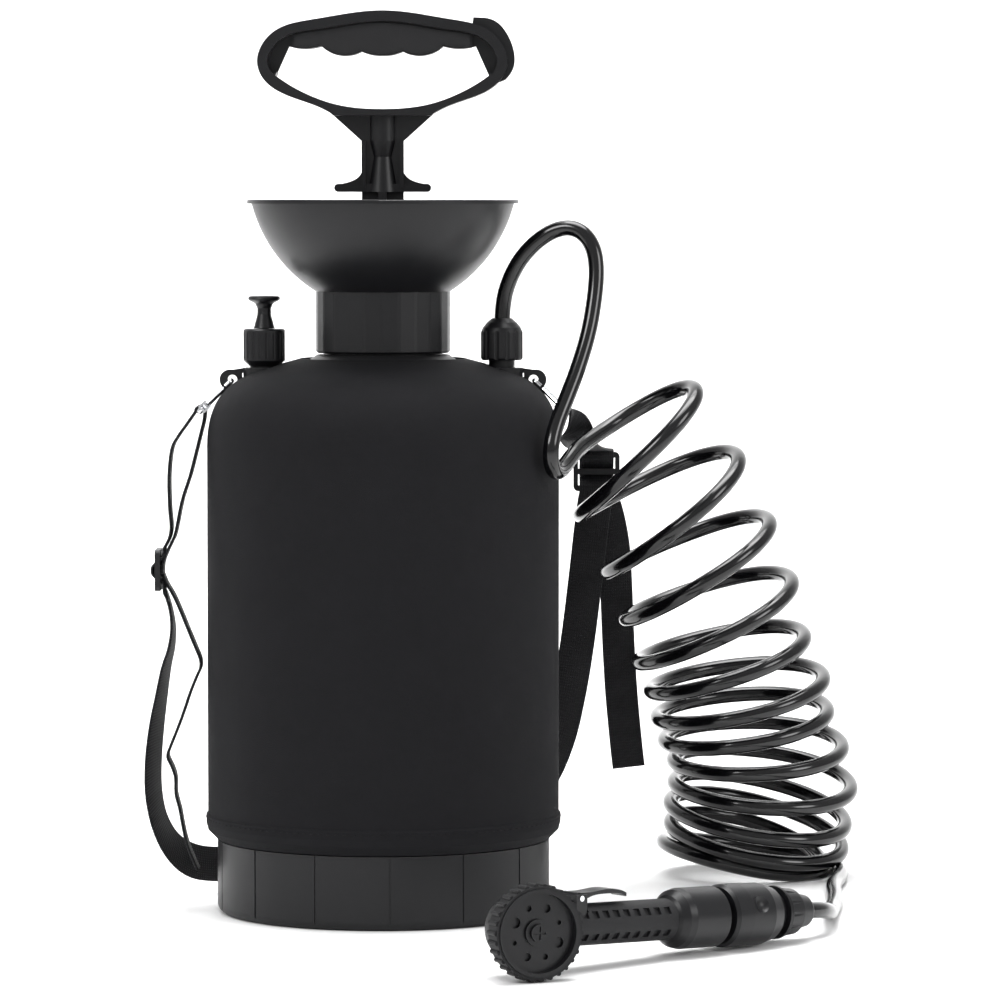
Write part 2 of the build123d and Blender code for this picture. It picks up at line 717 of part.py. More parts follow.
def make_gate(side):
    tip = Vector(*gate_tip)
    along = Vector(*gate_pin) - tip
    rod = Plane(origin=tip, z_dir=along) * Cylinder(gate_r, along.length - 0.5,
                                                   align=(Align.CENTER, Align.CENTER, Align.MIN))
    eye = Pos(*gate_pin) * Cylinder(1.8, 2 * gate_r)
    return hook_place(side) * (rod + eye - Pos(*gate_pin) * Cylinder(gate_pin_r + 0.05, 9))


def wrapped(side, half_turn):
    """Stations of the webbing round a hook's bar, from its inner side over to its outer side."""
    bar = hook_place(side).from_local_coords(Vector(hook_len, 0, 0))
    r = wire_r + 0.3 + web_t / 2
    stations = []
    for i in range(7):
        angle = radians(half_turn * (i / 3 - 1) / 2)
        stations.append(((bar.X + side * r * sin(angle), 0, bar.Z + r * cos(angle)), (0, 1, 0), web_w))
    return stations


left_inner_strand = [
    (-123.9, 4, 189.5), (-123.5, 4, 195.5), (-121.2, 4, 202.0), (-118.4, 4, 207.8), (-116.2, 4, 213.5),
    (-112.6, 3, 231.0), (-108.0, 2, 245.0), (-104.6, 1, 258.0), (-102.2, 0.5, 267.5), (-100.2, 0, 275.5),
]
left_outer_strand = [
    (-106.6, 0, 278.3), (-110.2, 0, 273.2), (-114.6, 0.5, 267.0), (-118.2, 1, 259.8), (-119.9, 2, 245.0),
    (-119.7, 3, 228.0), (-118.9, 4, 217.0), (-119.5, 4, 211.0), (-121.4, 4, 206.6),
]
main_strap_stations = [
    ((-122.0, 4.5, 177.5), (0, 1, 0)),
    ((-119.6, 5, 169.0), (0, 1, 0)), ((-118.6, 7, 158.0), (0.05, 1, 0)), ((-119.8, 8.5, 147.0), (0.12, 1, 0)),
    ((-122.7, 10, 136.0), (0.2, 1, 0)), ((-125.6, 12, 120.0), (0.28, 1, 0)), ((-128.6, 15, 102.0), (0.38, 1, 0)),
    ((-130.7, 19, 82.0), (0.42, 1, 0)), ((-130.8, 24, 63.0), (0.42, 1, 0.05)),
    ((-127.6, 31, 45.0), (0.4, 1, 0.15)), ((-120.6, 42, 30.0), (0.4, 0.9, 0.4)),
    ((-110.0, 56, 20.5), (0.3, 0.5, 0.8)), ((-95.0, 74, 16.5), (0.1, 0.2, 1)), ((-72.0, 93, 15.0), (0, 0.05, 1)),
    ((-38.0, 108, 15.0), (0, 0, 1)), ((0.0, 114, 16.5), (-0.1, 0, 1)), ((36.0, 117, 22.0), (-0.25, 0, 1)),
    ((66.0, 119, 37.0), (-0.55, 0, 0.85)), ((87.0, 120, 58.0), (-0.8, 0, 0.6)), ((99.0, 120.5, 83.0), (-1, 0, 0.4)),
    ((106.0, 121, 112.0), (-1, 0, 0.2)), ((111.0, 121, 143.0), (-1, 0, 0.15)), ((115.0, 121, 175.0), (-1, 0, 0.1)),
    ((118.5, 121, 206.0), (-1, 0, 0.1)), ((120.6, 119, 222.5), (-1, 0, 0.05)),
]
right_strap_stations = [
    ((105.6, 1.0, 277.4), (0.25, 1, 0)), ((107.0, 4.0, 272.6), (0.7, 0.8, 0)), ((108.6, 10.0, 267.2), (1, 0.4, 0)),
    ((109.6, 20.0, 263.4), (1, 0, 0)), ((111.4, 40.0, 260.2), (1, 0, 0)), ((113.8, 62.0, 257.8), (1, 0, 0)),
    ((116.4, 84.0, 256.0), (1, 0, 0)), ((118.8, 100.0, 254.8), (1, 0, 0)), ((120.6, 110.0, 254.2), (1, 0, 0)),
    ((121.4, 115.2, 253.6), (1, 0, 0)),
]
left_tail_points = [
    (-123.6, 4, 189.2), (-121.6, 4, 184.2), (-117.4, 3.5, 177.0), (-113.4, 3, 168.0), (-110.0, 3, 159.5),
    (-105.6, 2, 149.0), (-102.8, 2, 142.0), (-102.6, 2, 137.0), (-104.6, 2, 132.4), (-108.4, 2, 123.0),
    (-111.6, 2, 113.5), (-115.4, 1, 103.0), (-119.6, 1, 92.6), (-121.2, 1, 87.0), (-118.6, 1, 81.0),
    (-116.8, 1, 75.0), (-116.6, 1, 66.0), (-114.4, 1, 57.0), (-111.8, 1, 43.0), (-108.6, 1, 32.6),
    (-104.4, 1, 23.0),
]
right_tail_stations = [
    ((121.9, 126.3, 240.5), (1, 0, 0)), ((122.4, 126.6, 235.0), (1, 0, 0)), ((124.4, 128.4, 228.0), (1, 0, 0.1)),
    ((127.8, 131.4, 218.0), (1, 0, 0.15)), ((130.6, 134.0, 206.0), (1, 0, 0.12)), ((132.6, 135.6, 192.0), (1, 0, 0.06)),
    ((133.8, 136, 170.0), (1, 0, 0.03)), ((135.0, 136, 140.0), (1, 0, 0.04)), ((136.8, 136.5, 110.0), (1, 0, 0.06)),
    ((139.4, 137, 82.0), (1, 0, 0.1)), ((141.2, 137, 66.0), (1, 0, 0.12)),
]


def weave(at, out, side):
    """Webbing from above (or below) a slider, through its slot, to the outside of its middle bar."""
    return [tuple(Vector(*at) + Vector(*out) * depth + Vector(0, 0, side * rise)) for depth, rise in slider_weave]


def make_strap_left():
    """One loop: from the slider up to the hook, round its bar, and back down through the slider."""
    down = left_outer_strand + weave(left_slider_at, (-1, 0, 0), 1)
    up = [(at, (0, 1, 0), web_w) for at in left_inner_strand]
    return ribbon(up + wrapped(-1, 190) + [(at, (0, 1, 0), web_w) for at in down], web_t)


def make_strap_main():
    """From the left slider down behind the base and up to the right slider."""
    first = [(at, (0, 1, 0)) for at in reversed(weave(left_slider_at, (-1, 0, 0), -1))]
    last = [(at, (-1, 0, 0)) for at in weave(right_slider_at, (0, 1, 0), -1)]
    return ribbon([(at, across, web_w) for at, across in first + main_strap_stations + last], web_t)


def make_strap_right():
    last = [(at, (1, 0, 0)) for at in weave(right_slider_at, (0, 1, 0), 1)]
    return ribbon(wrapped(1, 180) + [(at, across, web_w) for at, across in right_strap_stations + last], web_t)


def make_strap_tail_left():
    return ribbon([(at, (0, 1, 0), web_w - 4) for at in left_tail_points], web_t)


def make_strap_tail_right():
    return ribbon([(at, across, web_w - 1) for at, across in right_tail_stations], web_t)


def make_slider(at, across):
    """Plate with two slots; local x is across the webbing and local y along it."""
    body = Box(slider_w, slider_l, slider_t)
    body = fillet(body.edges().filter_by(Axis.Z), 3.0)
    slot_l = (slider_l - 3 * slider_bar) / 2
    for step in (-1, 1):
        body -= Pos(0, step * (slider_bar + slot_l) / 2, 0) * Box(slider_slot_w, slot_l, 9)
    return Plane(origin=at, x_dir=across, z_dir=Vector(*across).cross(Vector(0, 0, 1))) * body


# Centre line of the hose: a loop from the gland to the U-bend in front of the right hook,
# then the coil, then the tail along the floor to the handset
gland_to_coil = [
    (boss_x, 0, hose_start_z), (boss_x, 0, 340.0), (70.6, -1, 354.8), (77.5, -3, 367.2), (86.6, -5, 376.6),
    (96.0, -7, 382.4), (105.2, -10, 384.0), (113.0, -13, 380.0), (118.0, -15, 371.4), (119.4, -17.5, 360.0),
    (118.2, -20.5, 345.0), (115.0, -26, 326.0), (109.0, -33, 306.6), (102.4, -40, 289.6), (96.6, -47.6, 275.8),
    (93.6, -53.2, 264.2), (93.4, -52.6, 255.8), (95.2, -47.4, 249.6), (98.4, -38.6, 248.6),
    (102.4, -28.2, 252.8), (107.2, -16.5, 258.8), (113.4, -4.0, 263.6),
]
# Of the coil: number of turns from its first right end, middle of the turn, radius, rise to the right
coil_table = [
    (0.50, 127.0, -56.0, 281.6, 46.4, 39.5), (0.75, 133.2, -30.0, 271.9, 46.5, 38.8),
    (1.25, 142.8, 8.0, 258.1, 47.1, 36.1), (1.75, 156.0, 36.0, 237.5, 48.0, 32.6),
    (2.25, 165.0, 58.0, 218.6, 48.6, 29.7), (2.75, 174.4, 73.0, 199.3, 49.1, 27.5),
    (3.25, 179.9, 88.0, 185.3, 49.7, 25.1), (3.75, 187.0, 98.0, 167.4, 50.2, 22.4),
    (4.25, 190.9, 108.0, 153.6, 49.9, 19.5), (4.75, 194.4, 115.0, 136.9, 48.9, 16.4),
    (5.25, 198.5, 122.0, 129.0, 49.1, 13.3), (5.75, 204.9, 127.5, 116.2, 50.5, 10.4),
    (6.25, 206.7, 133.0, 107.4, 50.9, 8.4), (6.75, 207.6, 137.0, 97.6, 50.3, 7.3),
    (7.25, 209.9, 141.0, 90.8, 50.4, 5.4), (7.75, 214.6, 144.0, 79.8, 51.2, 2.8),
    (8.25, 218.0, 147.0, 73.9, 52.0, -0.2), (8.75, 220.8, 149.5, 61.2, 52.7, -3.6),
    (9.25, 220.9, 152.0, 54.1, 53.0, -6.6), (9.75, 219.3, 154.0, 42.9, 52.8, -9.0),
    (10.25, 217.6, 156.0, 36.7, 52.8, -10.6), (10.75, 216.8, 157.5, 29.7, 52.8, -11.0),
    (11.25, 217.2, 159.0, 23.5, 52.8, -11.4), (11.75, 215.5, 160.0, 17.5, 50.5, -11.7),
    (12.00, 212.5, 161.0, 14.2, 45.0, -11.8), (12.25, 212.3, 161.0, 12.7, 49.5, -11.0),
    (12.50, 213.0, 161.5, 11.5, 52.0, -9.0), (12.75, 213.4, 162.0, 10.0, 52.0, -6.0),
    (13.00, 213.8, 162.0, 8.4, 52.4, -4.0),
]
coil_pitch_top = 4.0
coil_pitch_foot = 10.0
coil_solid_turns = (1.25, 1.75, 2.75, 3.75, 4.75, 5.75, 6.75, 7.75, 8.75, 9.75, 10.75, 11.5, 12.25)
gland_side_turns = (0.73, 0.79, 0.85, 0.91, 0.97, 1.03, 1.09, 1.15, 1.21, 1.27)
coil_to_nut = [
    (266.2, 144.0, 4.7), (265.6, 124.0, 4.7), (262.6, 102.0, 4.7), (258.4, 78.0, 4.7), (256.6, 52.0, 4.7),
    (255.8, 24.0, 4.7), (253.4, -8.0, 4.8), (250.0, -36.0, 5.2), (248.0, -60.0, 6.8), (246.2, -82.0, 9.6),
    (243.0, -101.0, 13.0),
]


def coil_ring(turn):
    """Middle, radius, and directions to the right and to the front, of the coil at a turn."""
    rows = [row for row in coil_table if row[0] <= turn][-1:] + [row for row in coil_table if row[0] > turn][:1]
    a, b = rows[0], rows[-1]
    part = (turn - a[0]) / (b[0] - a[0]) if b[0] > a[0] else 0
    _, x, y, z, r, rise = [p + (q - p) * part for p, q in zip(a, b)]
    lean = radians(coil_pitch_top + (coil_pitch_foot - coil_pitch_top) * min(turn / 11, 1))
    if turn > 11.75:
        lean *= max(0.0, 1 - (turn - 11.75) / 1.0)
    right = Vector(cos(radians(rise)), 0, sin(radians(rise)))
    front = Vector(0, -cos(lean), -sin(lean))
    return Vector(x, y, z), r, right, front


def coil_point(turn):
    middle, r, right, front = coil_ring(turn)
    return middle + right * (r * cos(2 * pi * turn)) + front * (r * sin(2 * pi * turn))


def make_hose(name, points):
    """Straight runs joined by tangent arcs, each as large as its two runs allow."""
    corners = [Vector(*p) for p in points]
    radii = []
    for a, b, c in zip(corners, corners[1:], corners[2:]):
        turn = radians((b - a).get_angle(c - b))
        radii.append(0.45 * min((b - a).length, (c - b).length) / tan(turn / 2))
    path = FilletPolyline(*corners, radius=radii)
    hose = sweep(Plane(origin=path @ 0, z_dir=path % 0) * Circle(hose_r), path=path)
    ratio = hose.volume / (pi * hose_r ** 2 * path.length)
    print(name, "length", round(path.length), "volume ratio", round(ratio, 4), "radii", [round(r) for r in radii])
    return hose


def make_hose_loop():
    return make_hose("hose_loop", gland_to_coil + [tuple(coil_point(t)) for t in gland_side_turns])


def make_hose_tail():
    nut = handset_place().from_local_coords(Vector(hose_end, 0, 0))
    before = handset_place().from_local_coords(Vector(hose_nut_to + 9, 0, 0))
    start = [tuple(coil_point(13.0))]
    return make_hose("hose_tail", start + coil_to_nut + [tuple(before), tuple(nut)])


def make_hose_coil():
    """The coil's outer shape as one closed body, which the coiled hose is drawn over."""
    sections = []
    for turn in coil_solid_turns:
        middle, r, right, front = coil_ring(turn)
        sections.append(Plane(origin=middle, x_dir=right, z_dir=front.cross(right)) * Circle(r + hose_r))
    coil = loft(sections)
    return coil - block(0, 400, 0, 300, -60, 0.1)


def handset_place():
    """Local x runs from the spray head to the hose, local z is up."""
    heading, dip = radians(handset_heading), radians(handset_dip)
    along = Vector(cos(heading) * cos(dip), sin(heading) * cos(dip), -sin(dip))
    side = Vector(-sin(heading), cos(heading), 0)
    return Plane(origin=handset_origin, x_dir=along, z_dir=along.cross(side))


def bar(r, x0, x1):
    return Pos(x0, 0, 0) * Rot(0, 90, 0) * Cylinder(r, x1 - x0, align=(Align.CENTER, Align.CENTER, Align.MIN))


def turned_along(points):
    """Body of revolution about local x, from (x, r) points."""
    return revolve(make_face(Polyline(*points, close=True)), Axis.X)


def on_barrel(shape):
    """Turns a shape made about Z so that its axis is the spray head's."""
    return Rot(0, 0, barrel_turn) * Rot(0, 90, 0) * shape


def make_handset_body():
    head = on_barrel(turned([
        (0, head_back), (9, head_back), (14.5, head_back + 3), (head_r, head_back + 9), (head_r, head_front - 1),
        (head_r - 1, head_front), (0, head_front),
    ]))
    head += on_barrel(disc(dial_post_r, head_front - 1, dial_floor_z - 0.4))
    neck = loft([Plane(origin=(x, 0, 0), z_dir=(1, 0, 0)) * Circle(r) for x, r in ((6, 15), (17, 13.4), (30, grip_r))])
    core = bar(grip_core_r, 28, bell_from + 8)
    ears = block(lever_x - 4, lever_x + 3.6, -lever_w / 2 - 2.6, lever_w / 2 + 2.6, 5, lever_z + 2)
    ears -= block(lever_x - 6, lever_x + 6, -lever_w / 2 - 0.3, lever_w / 2 + 0.3, lever_z - 3.2, lever_z + 9)
    body = head + neck + core + ears
    body -= Pos(lever_x, 0, lever_z) * Rot(90, 0, 0) * Cylinder(lever_pin_r, 40)
    return handset_place() * body


def make_grip_rubber():
    sleeve = bar(grip_r, grip_foot, bell_from - 0.1) - bar(grip_core_r, grip_foot - 1, bell_from + 1)
    first = (grip_foot + bell_from - pocket_pitch * (pocket_count - 1)) / 2
    for i in range(pocket_count):
        pocket = Pos(first + i * pocket_pitch, -grip_r, 0) * Box(pocket_w, 2 * pocket_d, pocket_w)
        for turn in pocket_rows:
            sleeve -= Rot(turn, 0, 0) * pocket
    slot = block(grip_foot - 1, lever_x + 5, -lever_w / 2 - 2.8, lever_w / 2 + 2.8, 4.8, grip_r + 1)
    return handset_place() * (sleeve - slot)


def make_handset_bell():
    bell = turned_along([
        (bell_from, grip_core_r), (bell_from, grip_r - 0.6), (bell_from + 1.5, bell_r - 3.6),
        (bell_from + 5, bell_r - 0.9), (bell_from + 9, bell_r), (bell_to - 1, bell_r), (bell_to, bell_r - 1),
        (bell_to, spigot_r), (bell_from + 8, spigot_r), (bell_from + 8, grip_core_r),
    ])
    return handset_place() * bell


def make_handset_spigot():
    spigot = bar(spigot_r, bell_from + 8, coupling_from + 28)
    spigot -= turned_along([
        (seal_from, spigot_r - 1.3), (seal_from, spigot_r + 1), (seal_from + 2.4, spigot_r + 1),
        (seal_from + 2.4, spigot_r - 1.3),
    ])
    return handset_place() * (spigot - bar(spigot_bore_r, bell_from + 20, coupling_from + 30))


def make_spigot_seal():
    return handset_place() * turned_along([
        (seal_from + 0.2, spigot_r - 1.2), (seal_from + 0.2, spigot_r + 0.1), (seal_from + 2.2, spigot_r + 0.1),
        (seal_from + 2.2, spigot_r - 1.2),
    ])


dial_back_z = head_front + dial_gap
dial_floor_z = dial_back_z + dial_t - dial_recess


def make_spray_dial():
    dial = disc(dial_core_r, dial_back_z, dial_back_z + dial_t)
    dial -= disc(dial_face_r, dial_floor_z, dial_floor_z + 20)
    dial += disc(dial_hub_r, dial_floor_z, dial_floor_z + 1.6)
    dial -= disc(dial_post_r + 0.06, dial_back_z - 1, dial_floor_z + 9)
    for i in range(8):
        hole = Pos(dial_hole_ring_r, 0, 0) * disc(dial_hole_rs[i % 4], dial_floor_z - 2, dial_floor_z + 1)
        dial -= Rot(0, 0, 22.5 + i * 45) * hole
    return handset_place() * on_barrel(dial)


def make_dial_ring():
    """Knurled rubber ring round the dial."""
    ring = disc(dial_r - dial_lobe_r, dial_back_z + 0.6, dial_back_z + dial_t - 0.8)
    lobe = Pos(dial_r - dial_lobe_r, 0, 0) * disc(dial_lobe_r, dial_back_z + 1.4, dial_back_z + dial_t - 1.6)
    for i in range(dial_lobes):
        ring += Rot(0, 0, (i + 0.5) * 360 / dial_lobes) * lobe
    ring -= disc(dial_core_r, dial_back_z - 1, dial_back_z + dial_t + 1)
    return handset_place() * on_barrel(ring)


def make_dial_screw():
    low = dial_floor_z - 0.4
    screw = disc(dial_post_r - 0.3, low, dial_floor_z + 1.9) + disc(4.6, dial_floor_z + 1.8, dial_floor_z + 3.4)
    for turn in (0, 90):
        screw -= Rot(0, 0, turn) * block(-3.4, 3.4, -0.55, 0.55, dial_floor_z + 2.6, dial_floor_z + 5)
    return handset_place() * on_barrel(screw)


def make_side_lever():
    x, z = lever_x, lever_z
    side = make_face(Curve() + [
        Spline((x - 3, z + 1.6), (x + 8, z + 2.8), (x + 21, z + 4.0), (x + 34, z + 1.4),
               tangents=[(1, 0.5), (0.9, -0.6)]),
        Polyline((x + 34, z + 1.4), (x + 34, z - 0.4)),
        Spline((x + 34, z - 0.4), (x + 21, z + 1.6), (x + 8, z + 0.4), (x + 1, z - 2.6),
               tangents=[(-0.9, 0.6), (-0.9, -0.4)]),
        Polyline((x + 1, z - 2.6), (x - 3, z - 1.0), (x - 3, z + 1.6)),
    ])
    lever = extrude(Plane.XZ * side, amount=lever_w / 2, both=True)
    lever += Pos(x, 0, z) * Rot(90, 0, 0) * Cylinder(2.9, lever_w)
    return handset_place() * (lever - Pos(x, 0, z) * Rot(90, 0, 0) * Cylinder(lever_pin_r + 0.05, 40))


def make_lever_pin():
    return handset_place() * (Pos(lever_x, 0, lever_z) * Rot(90, 0, 0) * Cylinder(lever_pin_r, lever_w + 5.2))


def make_connector_body():
    """Socket on the hose, which takes the handset's spigot and carries the sliding sleeve."""
    bore = spigot_r + spigot_clearance
    body = turned_along([
        (coupling_from + 1, bore), (coupling_from + 1, socket_r), (hose_nut_from - 1.6, socket_r),
        (hose_nut_from - 1.6, coupling_r - 2.6), (hose_nut_from, coupling_r - 2.6), (hose_nut_from, gland_bore_r),
        (coupling_from + 28.6, gland_bore_r), (coupling_from + 28.6, bore),
    ])
    barb = turned_along([
        (hose_nut_from - 0.5, gland_bore_r), (hose_nut_from - 0.5, 8.0), (hose_end, 8.0), (hose_end, gland_bore_r),
    ])
    return handset_place() * (body + barb)


def make_connector_sleeve():
    end = coupling_to - coupling_travel
    sleeve = turned_along([
        (coupling_from, socket_r + 0.3), (coupling_from, coupling_r - 1.6), (coupling_from + 2, coupling_r - 0.2),
        (coupling_from + 12, coupling_r), (end - 8, coupling_r - 0.4), (end, coupling_r - 2.4),
        (end, socket_r + 0.3),
    ])
    thumb = Pos((coupling_from + end) / 2, -coupling_r - 4.2, 0) * Sphere(7.0)
    for turn in (-25, 155):
        sleeve -= Rot(turn, 0, 0) * thumb
    return handset_place() * sleeve


def make_hose_nut():
    nut = turned_along([
        (hose_nut_from + 0.1, 8.0), (hose_nut_from + 0.1, 12.6), (hose_nut_from + 1.4, 13.4),
        (hose_nut_from + 11, 12.4), (hose_nut_from + 13, 10.2), (hose_nut_to - 1.5, 8.6), (hose_nut_to, 7.4),
        (hose_nut_to, hose_r + hose_clearance), (hose_end + 0.1, hose_r + hose_clearance), (hose_end + 0.1, 8.0),
    ])
    for i in range(12):
        nut -= Rot(i * 30, 0, 0) * (Pos(0, 0, 13.9) * bar(1.4, hose_nut_from + 2, hose_nut_from + 10))
    return handset_place() * nut


handle_edge = both_sides(handle_outline())
hand_opening = make_closed(opening_outline(0))
rim_inside = make_closed(recess_outline(0))
pieces = {
    "bottle": make_bottle(),
    "base_cup": make_base_cup(),
    "neoprene_sleeve": make_neoprene_sleeve(),
    "lug_left": make_lug(-1),
    "lug_right": make_lug(1),
    "funnel": make_funnel(),
    "neck_gasket": make_neck_gasket(),
    "pump_cap": make_pump_cap(),
    "cap_gasket": make_cap_gasket(),
    "pump_cylinder": make_pump_cylinder(),
    "foot_valve": make_foot_valve(),
    "piston_cup": make_piston_cup(),
    "piston_plate": make_piston_plate(),
    "pump_rod": make_rod(),
    "rod_clip": make_rod_clip(),
    "handle_frame": make_handle(handle_edge, hand_opening, rim_inside),
    "grip_pads": make_grip_pads(),
    "lance_clip": make_lance_clip(handle_edge),
    "valve_body": make_valve_body(),
    "valve_cap": make_valve_cap(),
    "valve_stem": make_valve_stem(),
    "valve_seal": make_valve_seal(),
    "valve_spring": make_valve_spring(),
    "valve_knob": make_valve_knob(),
    "lock_nuts": make_lock_nuts(),
    "lock_washers": make_lock_washers(),
    "gland_stem": make_gland_stem(),
    "gland_seal": make_gland_seal(),
    "gland_nut": make_gland_nut(),
    "dip_tube": make_dip_tube(),
    "strainer": make_strainer(),
    "hook_left": make_hook(-1),
    "hook_right": make_hook(1),
    "gate_pins": make_gate_pins(),
    "gate_left": make_gate(-1),
    "gate_right": make_gate(1),
    "strap_left": make_strap_left(),
    "strap_main": make_strap_main(),
    "strap_right": make_strap_right(),
    "strap_tail_left": make_strap_tail_left(),
    "strap_tail_right": make_strap_tail_right(),
    "slider_left": make_slider(left_slider_at, (0, 1, 0)),
    "slider_right": make_slider(right_slider_at, (1, 0, 0)),
    "hose_loop": make_hose_loop(),
    "hose_coil": make_hose_coil(),
    "hose_tail": make_hose_tail(),
    "hose_nut": make_hose_nut(),
    "connector_body": make_connector_body(),
    "connector_sleeve": make_connector_sleeve(),
    "handset_body": make_handset_body(),
    "grip_rubber": make_grip_rubber(),
    "handset_bell": make_handset_bell(),
    "handset_spigot": make_handset_spigot(),
    "spigot_seal": make_spigot_seal(),
    "spray_dial": make_spray_dial(),
    "dial_ring": make_dial_ring(),
    "dial_screw": make_dial_screw(),
    "side_lever": make_side_lever(),
    "lever_pin": make_lever_pin(),
}
os.makedirs("parts", exist_ok=True)
for name, piece in pieces.items():
    export_step(piece, f"parts/{name}.step")
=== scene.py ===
import bmesh
import bpy
import json
from math import cos, pi, radians, sin
from mathutils import Matrix, Vector


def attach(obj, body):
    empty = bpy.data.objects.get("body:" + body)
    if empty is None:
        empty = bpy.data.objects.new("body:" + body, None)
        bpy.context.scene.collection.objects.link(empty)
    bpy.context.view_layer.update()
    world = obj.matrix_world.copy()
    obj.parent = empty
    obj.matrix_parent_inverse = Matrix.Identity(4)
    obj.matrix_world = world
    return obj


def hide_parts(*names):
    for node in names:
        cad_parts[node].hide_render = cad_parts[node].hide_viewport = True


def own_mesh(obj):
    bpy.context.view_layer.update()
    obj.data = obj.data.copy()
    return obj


# Looks for the portable shower. Sizes are in millimetres, as in the CAD source whose places they
# repeat, and are turned into metres by mm. Those of the studio are in metres.
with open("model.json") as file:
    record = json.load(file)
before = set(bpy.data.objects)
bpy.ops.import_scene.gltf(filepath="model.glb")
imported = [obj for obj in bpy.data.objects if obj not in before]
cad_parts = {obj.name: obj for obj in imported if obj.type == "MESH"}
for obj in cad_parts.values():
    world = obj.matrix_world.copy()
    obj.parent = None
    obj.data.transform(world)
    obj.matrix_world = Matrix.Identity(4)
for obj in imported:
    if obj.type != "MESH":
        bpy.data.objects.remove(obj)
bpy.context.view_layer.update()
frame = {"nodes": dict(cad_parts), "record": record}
nodes = frame["nodes"]
mm = 0.001

# Hose
hose_r = 4.5
gland_to_coil = [
    (66.5, 0, 323.0), (66.5, 0, 340.0), (70.6, -1, 354.8), (77.5, -3, 367.2), (86.6, -5, 376.6),
    (96.0, -7, 382.4), (105.2, -10, 384.0), (113.0, -13, 380.0), (118.0, -15, 371.4),
    (119.4, -17.5, 360.0), (118.2, -20.5, 345.0), (115.0, -26, 326.0), (109.0, -33, 306.6),
    (102.4, -40, 289.6), (96.6, -47.6, 275.8), (93.6, -53.2, 264.2), (93.4, -52.6, 255.8),
    (95.2, -47.4, 249.6), (98.4, -38.6, 248.6), (102.4, -28.2, 252.8), (107.2, -16.5, 258.8),
    (113.4, -4.0, 263.6),
]
# Of the coil: number of turns from its first right end, middle of the turn, radius, rise to the right
coil_table = [
    (0.50, 127.0, -56.0, 281.6, 46.4, 39.5), (0.75, 133.2, -30.0, 271.9, 46.5, 38.8),
    (1.25, 142.8, 8.0, 258.1, 47.1, 36.1), (1.75, 156.0, 36.0, 237.5, 48.0, 32.6),
    (2.25, 165.0, 58.0, 218.6, 48.6, 29.7), (2.75, 174.4, 73.0, 199.3, 49.1, 27.5),
    (3.25, 179.9, 88.0, 185.3, 49.7, 25.1), (3.75, 187.0, 98.0, 167.4, 50.2, 22.4),
    (4.25, 190.9, 108.0, 153.6, 49.9, 19.5), (4.75, 194.4, 115.0, 136.9, 48.9, 16.4),
    (5.25, 198.5, 122.0, 129.0, 49.1, 13.3), (5.75, 204.9, 127.5, 116.2, 50.5, 10.4),
    (6.25, 206.7, 133.0, 107.4, 50.9, 8.4), (6.75, 207.6, 137.0, 97.6, 50.3, 7.3),
    (7.25, 209.9, 141.0, 90.8, 50.4, 5.4), (7.75, 214.6, 144.0, 79.8, 51.2, 2.8),
    (8.25, 218.0, 147.0, 73.9, 52.0, -0.2), (8.75, 220.8, 149.5, 61.2, 52.7, -3.6),
    (9.25, 220.9, 152.0, 54.1, 53.0, -6.6), (9.75, 219.3, 154.0, 42.9, 52.8, -9.0),
    (10.25, 217.6, 156.0, 36.7, 52.8, -10.6), (10.75, 216.8, 157.5, 29.7, 52.8, -11.0),
    (11.25, 217.2, 159.0, 23.5, 52.8, -11.4), (11.75, 215.5, 160.0, 17.5, 50.5, -11.7),
    (12.00, 212.5, 161.0, 14.2, 45.0, -11.8), (12.25, 212.3, 161.0, 12.7, 49.5, -11.0),
    (12.50, 213.0, 161.5, 11.5, 52.0, -9.0), (12.75, 213.4, 162.0, 10.0, 52.0, -6.0),
    (13.00, 213.8, 162.0, 8.4, 52.4, -4.0),
]
coil_pitch_top = 4.0
coil_pitch_foot = 10.0
coil_pitch_turns = 11
coil_level_from = 11.75
coil_first = 0.73
coil_last = 13.0
coil_steps = 205
coil_to_nut = [
    (266.2, 144.0, 4.7), (265.6, 124.0, 4.7), (262.6, 102.0, 4.7), (258.4, 78.0, 4.7), (256.6, 52.0, 4.7),
    (255.8, 24.0, 4.7), (253.4, -8.0, 4.8), (250.0, -36.0, 5.2), (248.0, -60.0, 6.8), (246.2, -82.0, 9.6),
    (243.0, -101.0, 13.0),
]

# Handset
handset_origin = (75.6, -262.8, 25.2)
handset_heading = 42.3
handset_dip = 2.6
hose_end = 196.0
hose_nut_to = 209.0
straight_at_nut = 9.0
floor_rest_z = 4.7

# Strap
web_t = 1.5
web_w = 20.0
left_tail_w = 16.0
right_tail_w = 19.0
web_gap = 0.3
edge_points = 5
left_wrap = 190
right_wrap = 180
wrap_points = 7
wire_r = 1.6
hook_len = 25.0
hook_drop = (0.715, -0.700)
ear_x = 84.3
ear_z = 298.6
left_slider_at = (-126.3, 4.0, 191.7)
right_slider_at = (121.8, 121.0, 240.9)
slider_weave = ((-3.4, 12.0), (-3.4, 8.4), (-2.4, 6.3), (0.5, 4.7), (2.9, 2.1), (3.2, 0.9), (3.2, 0.05))
left_inner_strand = [
    (-123.9, 4, 189.5), (-123.5, 4, 195.5), (-121.2, 4, 202.0), (-118.4, 4, 207.8), (-116.2, 4, 213.5),
    (-112.6, 3, 231.0), (-108.0, 2, 245.0), (-104.6, 1, 258.0), (-102.2, 0.5, 267.5), (-100.2, 0, 275.5),
]
left_outer_strand = [
    (-106.6, 0, 278.3), (-110.2, 0, 273.2), (-114.6, 0.5, 267.0), (-118.2, 1, 259.8), (-119.9, 2, 245.0),
    (-119.7, 3, 228.0), (-118.9, 4, 217.0), (-119.5, 4, 211.0), (-121.4, 4, 206.6),
]
